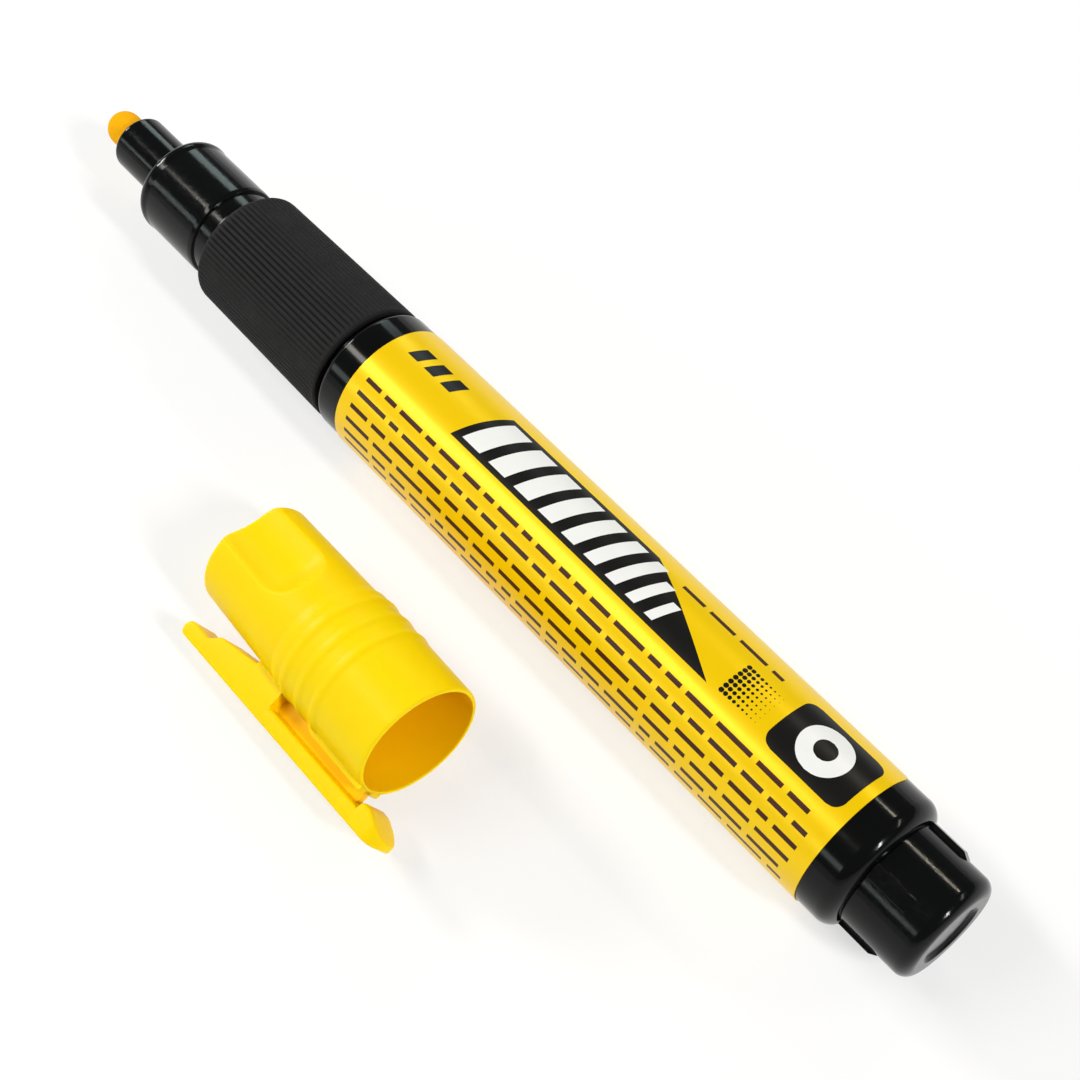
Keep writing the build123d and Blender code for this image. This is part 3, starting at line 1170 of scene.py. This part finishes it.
@dataclass
class Cap:
    """Cap with its clip, lying beside the marker; distances run from its mouth to its closed end.

    Attributes:
        length: Length of the cap.
        band: Length of the wider band at the mouth.
        band_radius: Radius of the band.
        shoulder: Length of the step behind the band, and the rounding at both its ends.
        neck_radius: Radius behind the step.
        end_radius: Radius at the closed end.
        end_rounding: Rounding of the closed end.
        mouth_roundings: Rounding of the mouth's outer and inner edge.
        bore: Radius of the mouth's bore.
        bore_length: Length of that bore.
        bore_taper: Length of the taper behind it.
        deep: Radius of the deep bore.
        end_wall: Thickness of the closed end.
        skin: How near to the inside's surface a point counts as on it.
        rim: Depth of the mouth's rim, which has the finish of the outside.
        bead_height: Height of the raised rings.
        bead_width: Width of a ring.
        beads: Distances of the rings.
        scoop_length: Length of the thumb scoops from the closed end.
        scoop_floor: Distance of their floor from the axis.
        scoop_radius: Radius of their hollow.
        scoop_end: Rounding of their inner end.
        scoop_deg: Their turn from the clip.
        scoop_blend: Softness of their edges.
        roll_deg: Turn about the cap's own axis that brings the clip's tail to the table.
        segments: Steps round the cap.
        corner_steps: Steps per rounded corner of its outline.
        finest: Longest run of its outline on the outside.
        clip: Clip, land and ledge.
    """

    length: float = 28.2
    band: float = 14.2
    band_radius: float = 6.75
    shoulder: float = 1.0
    neck_radius: float = 6.5
    end_radius: float = 6.15
    end_rounding: float = 0.8
    mouth_roundings: Point = (0.3, 0.12)
    bore: float = 6.28
    bore_length: float = 12.4
    bore_taper: float = 1.6
    deep: float = 3.95
    end_wall: float = 0.65
    skin: float = 0.02
    rim: float = 0.15
    bead_height: float = 0.15
    bead_width: float = 1.5
    beads: Sequence[float] = (7.9, 10.35, 12.8)
    scoop_length: float = 11.2
    scoop_floor: float = 4.55
    scoop_radius: float = 6.5
    scoop_end: float = 4.0
    scoop_deg: float = 116.0
    scoop_blend: float = 0.45
    roll_deg: float = 23.5
    segments: int = 256
    corner_steps: int = 8
    finest: float = 0.18
    clip: Clip = field(default_factory=Clip)

    def build(self, record: dict, solids: Solids) -> None:
        """Builds the cap's body, clip, land and ledge, and dresses the inner cap.

        Args:
            record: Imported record, whose cap mount gives the cap's place.
            solids: Solids by name.
        """
        place = self._place(record)
        body = lathe("cap_body", self._outline(), self.segments, place, CAP_MOULDING, self._radius_at)
        # The faces inside the body take a deeper gold, which is painted shade
        self._paint_hollow_shade(body, place)
        clip = loft("cap_clip", self.clip.sections(), place, CAP_MOULDING)
        land = loft("cap_land", self.clip.land_sections(), place, CAP_MOULDING)
        # The ledge takes the same deeper gold, painted shade for the deep slot under the clip
        ledge = loft("cap_ledge", self.clip.ledge_sections(), place, CAP_PAINTED_HOLLOW_SHADE)
        for piece in (body, clip, land, ledge):
            adopt(piece, Body.CAP, Slot.CAP, "cap_shell")
        dress(solids, ["cap_liner"], NATURAL_MOULDING)

    def _place(self, record: dict) -> Matrix:
        """Finds how the cap lies from its mouth's mount.

        Args:
            record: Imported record.

        Returns:
            From the cap's own frame, mouth at the origin and clip towards -Y, to the row frame.
        """
        mount = next(m for m in record["mounts"] if m["name"] == "cap_mouth")
        axis = Vector(mount["axis"]).normalized()
        mouth = Vector(mount["pos_m"]) / MM + axis * (self.bore_length / 2)
        yaw = math.atan2(axis.y, axis.x)
        tilt = math.asin(axis.z)
        turn = Matrix.Rotation(yaw, 4, "Z") @ Matrix.Rotation(-tilt, 4, "Y")
        return Matrix.Translation(mouth) @ turn @ Matrix.Rotation(math.radians(self.roll_deg), 4, "X")

    def _is_inside(self, distance: float, r: float) -> bool:
        """Tells whether a point of the body is on its inside.

        Args:
            distance: Distance from the mouth.
            r: Distance from the axis.

        Returns:
            Whether it is.
        """
        if distance < self.bore_length + self.bore_taper:
            return r < self.bore + self.skin
        return distance < self.length - self.skin and r < self.deep + self.skin

    def _paint_hollow_shade(self, body: bpy.types.Object, place: Matrix) -> None:
        """Gives the faces inside the body the deeper-gold finish, which paints the shade of the hollow.

        Args:
            body: The cap's body.
            place: From the cap's own frame to the row frame.
        """
        body.data.materials.append(CAP_PAINTED_HOLLOW_SHADE.material())
        back = place.inverted()
        for face in body.data.polygons:
            spot = back @ (face.center / MM)
            if -spot.x > self.rim and self._is_inside(-spot.x, math.hypot(spot.y, spot.z)):
                face.material_index = 1

    def _outline(self) -> list[Point]:
        """Half section of the cap's body, mouth at 0 and closed end towards -X.

        Returns:
            Closed outline.
        """
        inner_end = self.end_wall - self.length
        inside = [
            (-self.bore_length, self.bore),
            (-self.bore_length - self.bore_taper, self.deep),
            (inner_end, self.deep),
            (inner_end, 0.0),
        ]
        whole = rounded(
            [
                *((x, r, 0.0) for x, r in inside),
                (-self.length, 0.0, 0.0),
                (-self.length, self.end_radius, self.end_rounding),
                (-self.band - self.shoulder, self.neck_radius, self.shoulder),
                (-self.band, self.band_radius, self.shoulder),
                (0.0, self.band_radius, self.mouth_roundings[0]),
                (0.0, self.bore, self.mouth_roundings[1]),
            ],
            self.corner_steps,
        )
        return inside + self._finely(whole[len(inside) :])

    def _finely(self, outline: Sequence[Point]) -> list[Point]:
        """Cuts long runs of an open outline into short ones.

        Args:
            outline: Outline points in order.

        Returns:
            The same outline with more points.
        """
        fine: list[Point] = []
        for (x, r), (nx, nr) in zip(outline, outline[1:]):
            parts = max(1, math.ceil(math.hypot(nx - x, nr - r) / self.finest))
            fine += [(x + (nx - x) * i / parts, r + (nr - r) * i / parts) for i in range(parts)]
        return [*fine, outline[-1]]

    def _radius_at(self, x: float, r: float, angle: float) -> float:
        """Radius of the body at a point, with its raised rings and scoops.

        Args:
            x: Minus the distance from the mouth.
            r: Plain radius.
            angle: Turn about the axis, where the clip is at a quarter turn.

        Returns:
            Radius of that point.
        """
        distance = -x
        if self._is_inside(distance, r):
            return r
        for bead in self.beads:
            off = abs(distance - bead) / (self.bead_width / 2)
            if off < 1:
                r += self.bead_height * math.cos(off * QUARTER) ** 2
        into = distance - (self.length - self.scoop_length)
        if into <= 0:
            return r
        end = min(into, self.scoop_end)
        hollow = self.scoop_radius - self.scoop_end + math.sqrt(self.scoop_end**2 - (self.scoop_end - end) ** 2)
        away = self.scoop_floor + self.scoop_radius
        for side in (-1, 1):
            off = angle - QUARTER - side * math.radians(self.scoop_deg)
            off = math.atan2(math.sin(off), math.cos(off))
            reach = hollow**2 - (away * math.sin(off)) ** 2
            if abs(off) < QUARTER and reach > 0:
                r = soft_min(r, away * math.cos(off) - math.sqrt(reach), self.scoop_blend)
        return r


@dataclass
class Lamp:
    """One soft box.

    Attributes:
        name: Lamp name.
        aim: Point it lights, from the label's front on the axis.
        towards: Direction from that point to the lamp.
        distance: Distance in metres.
        size: Length and width in metres.
        power: Watts.
        colour: sRGB hex.
        long_axis: Direction that its length follows as nearly as it can.
    """

    name: str
    aim: Triple
    towards: Triple
    distance: float
    size: Point
    power: float
    colour: str = "#FFFFFF"
    long_axis: Triple = (1.0, 0.0, 0.0)

    def build(self, origin: Vector) -> None:
        """Hangs the lamp.

        Args:
            origin: Label's front on the axis, in metres.
        """
        data = bpy.data.lights.new(self.name, "AREA")
        data.shape = "RECTANGLE"
        data.size, data.size_y = self.size
        data.energy = self.power
        data.color = linear(self.colour)[:3]
        lamp = bpy.data.objects.new(self.name, data)
        bpy.context.scene.collection.objects.link(lamp)
        back = Vector(self.towards).normalized()
        side = (Vector(self.long_axis) - back * back.dot(Vector(self.long_axis))).normalized()
        lamp.matrix_world = facing(origin + Vector(self.aim) * MM + back * self.distance, side, back)


# Tubes and boxes all round, which mirror as stripes and patches in the black pieces. The front tube hangs before the
# cap's mouth and lights its inside.
LAMPS = (
    Lamp("right_tube", (60, 0, 0), (0.41, 0.64, 0.65), 1.2, (0.5, 0.06), 1.2, "#FFF8EA"),
    Lamp("front_tube", (40, 0, 0), (0.79, 0.05, 0.61), 1.2, (0.3, 0.1), 8.2),
    Lamp(
        "overhead_box", (0, 0, 0), (-0.424, -0.37, 0.785), 0.966, (0.53, 0.12), 3.1, "#FFFBF0",
        long_axis=(0.884, -0.418, 0.209),
    ),
    Lamp("low_box", (0, 0, 0), (-0.86, -0.16, 0.47), 1.0, (0.2, 0.2), 4.8),
    Lamp("window_box", (-34, 0, 0), (-0.64, 0.6, 0.47), 1.0, (0.3, 0.24), 1.3, "#DCF0EE"),
    Lamp("side_box", (20, 0, 0), (-0.42, -0.8, 0.38), 1.0, (0.8, 0.14), 1.5, "#E6F3F0"),
    Lamp("rear_tube", (76, 0, 0), (-0.17, 0.675, 0.72), 1.0, (0.1, 0.012), 0.5, "#FFF6E0"),
)


@dataclass
class Studio:
    """Pale floor, soft lamps and the camera.

    Attributes:
        eye: Camera, from the label's front on the axis.
        look: Direction of its view.
        right: Direction of its picture's right side.
        lens: Focal length.
        sensor: Width of its sensor.
        clip_range: Nearest and farthest point that it sees, in metres.
        sky: Strength of the even light from all round.
        floor_hex: Colour of the floor.
        floor_glow: Share of plain white in the floor as it is seen and mirrored.
        floor_radius: Radius of the floor in metres.
        floor_drop: How far it lies below the object, in metres.
        floor_segments: Steps round the floor.
        cove: Radius in metres of the curve from the floor up to the low wall round it.
        cove_steps: Steps along that curve.
        lamps: Soft boxes.
    """

    eye: Triple = (103.38, -67.08, 153.29)
    look: Triple = (-0.42539, 0.36058, -0.8300)
    right: Triple = (0.64655, 0.76285, 0.0)
    lens: float = 61.45
    sensor: float = 36.0
    clip_range: Point = (0.01, 20.0)
    sky: float = 0.15
    floor_hex: str = "#FAFAFA"
    floor_glow: float = 0.62
    floor_radius: float = 3.0
    floor_drop: float = 5e-5
    floor_segments: int = 96
    cove: float = 0.5
    cove_steps: int = 12
    lamps: Sequence[Lamp] = LAMPS

    def build(self) -> None:
        """Lays the floor, hangs the lamps, lights the sky and sets up the camera."""
        low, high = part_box("label_wrap")
        origin = Vector((low.x, (low.y + high.y) / 2, (low.z + high.z) / 2))
        self._floor()
        self._sky()
        for lamp in self.lamps:
            lamp.build(origin)
        self._camera(origin)
        bpy.context.scene.view_settings.view_transform = "Standard"

    def _floor(self) -> None:
        """Lays a wide floor under the object, which curves up into a low wall all round."""
        count = self.floor_segments
        verts: list[Triple] = []
        for k in range(self.cove_steps + 1):
            turn = QUARTER * k / self.cove_steps
            radius = self.floor_radius - self.cove * (1 - math.sin(turn))
            height = self.cove * (1 - math.cos(turn)) - self.floor_drop
            for i in range(count):
                angle = 2 * math.pi * i / count
                verts.append((radius * math.cos(angle), radius * math.sin(angle), height))
        faces = [list(range(count))]
        for k in range(self.cove_steps):
            for i in range(count):
                a, b = k * count + i, k * count + (i + 1) % count
                faces.append([b, a, a + count, b + count])
        mesh = bpy.data.meshes.new("floor")
        mesh.from_pydata(verts, [], faces)
        mesh.shade_smooth()
        mesh.polygons[0].use_smooth = False
        mesh.materials.append(self._paper())
        floor = bpy.data.objects.new("floor", mesh)
        bpy.context.scene.collection.objects.link(floor)

    def _paper(self) -> bpy.types.Material:
        """Matte white paper that looks white and still takes the object's shadow.

        Returns:
            Material of the floor.
        """
        paper = bpy.data.materials.new("paper_white_matte")
        paper.use_nodes = True
        tree = paper.node_tree
        tree.nodes.clear()
        rays = add(tree, "ShaderNodeLightPath").outputs
        seen = rays["Is Camera Ray"]
        for ray in ("Is Glossy Ray", "Is Transmission Ray"):
            seen = add(tree, "ShaderNodeMath", {"operation": "MAXIMUM"}, {0: seen, 1: rays[ray]}).outputs[0]
        share = add(tree, "ShaderNodeMath", {"operation": "MULTIPLY"}, {0: seen, 1: self.floor_glow})
        matte = add(tree, "ShaderNodeBsdfDiffuse", None, {"Color": linear(self.floor_hex)})
        glow = add(tree, "ShaderNodeEmission", None, {"Color": (1, 1, 1, 1), "Strength": 1.0})
        both = add(tree, "ShaderNodeMixShader", None, {0: share.outputs[0], 1: matte.outputs[0], 2: glow.outputs[0]})
        add(tree, "ShaderNodeOutputMaterial", None, {"Surface": both.outputs[0]})
        return paper

    def _sky(self) -> None:
        """Lights the scene evenly from all round."""
        world = bpy.data.worlds.new("studio_white")
        world.use_nodes = True
        sky = world.node_tree.nodes["Background"].inputs
        sky["Color"].default_value = (1, 1, 1, 1)
        sky["Strength"].default_value = self.sky
        bpy.context.scene.world = world

    def _camera(self, origin: Vector) -> None:
        """Sets up the camera at the photograph's place.

        Args:
            origin: Label's front on the axis, in metres.
        """
        data = bpy.data.cameras.new("camera")
        data.lens, data.sensor_width = self.lens, self.sensor
        data.clip_start, data.clip_end = self.clip_range
        camera = bpy.data.objects.new("camera", data)
        bpy.context.scene.collection.objects.link(camera)
        place = origin + Vector(self.eye) * MM
        camera.matrix_world = facing(place, Vector(self.right).normalized(), -Vector(self.look).normalized())
        bpy.context.scene.camera = camera


def main() -> None:
    """Loads the solids and builds every sub-assembly in order."""
    logging.basicConfig(level=logging.INFO, format="%(name)s: %(message)s")
    for old in list(bpy.data.objects):
        bpy.data.objects.remove(old)
    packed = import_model()
    solids = packed["nodes"]
    frame = MarkerFrame.from_solids()
    Nose().build(frame, solids)
    Grip().build(frame)
    Barrel().build(frame, solids)
    Valve().build(solids)
    Cap().build(packed["record"], solids)
    Studio().build()
    bpy.context.view_layer.update()


if __name__ == "__main__":
    main()
